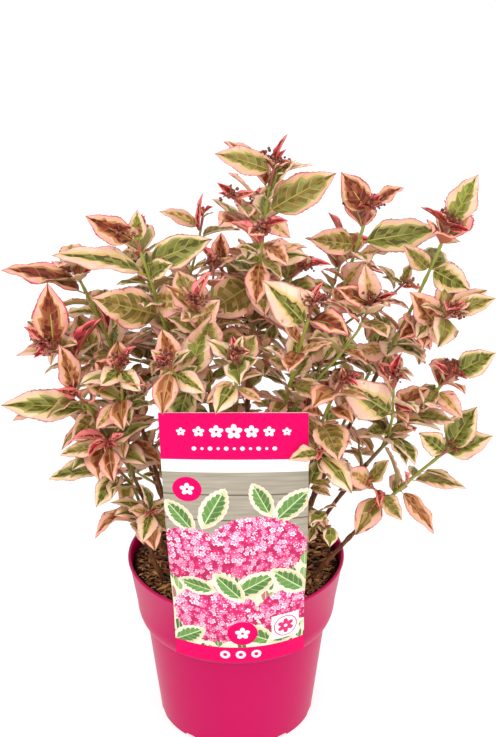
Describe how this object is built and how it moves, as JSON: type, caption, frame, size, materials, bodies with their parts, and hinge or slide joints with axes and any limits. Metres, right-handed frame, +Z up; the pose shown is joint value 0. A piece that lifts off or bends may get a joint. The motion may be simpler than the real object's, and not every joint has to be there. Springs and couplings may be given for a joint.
{
  "type": "potted hydrangea shrub",
  "caption": "Young variegated hydrangea shrub with green, cream and pink leaves and dark bud heads, in a round nursery pot with a plain care card hung on its rim.",
  "frame": {"origin": "middle of the pot's flat underside", "axes": "+Z up along the pot's axis, -Y towards the front, where the care card hangs, +X to the right seen from the front"},
  "size_m": [0.402, 0.3326, 0.5359],
  "materials": {
    "pot_plastic": "satin moulded polypropylene, magenta",
    "bark_compost": "loose shredded bark on moist compost",
    "printed_card": "printed plastic card, satin",
    "stem_bark": "thin brown bark, green towards the tips",
    "foliage": "matt variegated leaves, green centres and cream to pink margins"
  },
  "bodies": {
    "root": {"care_card": "printed_card", "compost": "bark_compost", "foliage_back": "foliage", "foliage_back_high": "foliage", "foliage_back_left": "foliage", "foliage_back_left_low": "foliage", "foliage_back_right": "foliage", "foliage_back_right_low": "foliage", "foliage_centre": "foliage", "foliage_centre_left": "foliage", "foliage_front": "foliage", "foliage_front_right": "foliage", "foliage_left_high": "foliage", "foliage_left_low": "foliage", "foliage_left_mid": "foliage", "foliage_right": "foliage", "foliage_right_high": "foliage", "foliage_right_low": "foliage", "foliage_top": "foliage", "foliage_upper_left": "foliage", "foliage_upper_right": "foliage", "limb_back": "stem_bark", "limb_back_high": "stem_bark", "limb_back_left": "stem_bark", "limb_back_left_low": "stem_bark", "limb_back_right": "stem_bark", "limb_back_right_low": "stem_bark", "limb_centre": "stem_bark", "limb_centre_left": "stem_bark", "limb_front": "stem_bark", "limb_front_right": "stem_bark", "limb_left_high": "stem_bark", "limb_left_low": "stem_bark", "limb_left_mid": "stem_bark", "limb_right": "stem_bark", "limb_right_high": "stem_bark", "limb_right_low": "stem_bark", "limb_top": "stem_bark", "limb_upper_left": "stem_bark", "limb_upper_right": "stem_bark", "pot": "pot_plastic"}
  },
  "joints": []
}
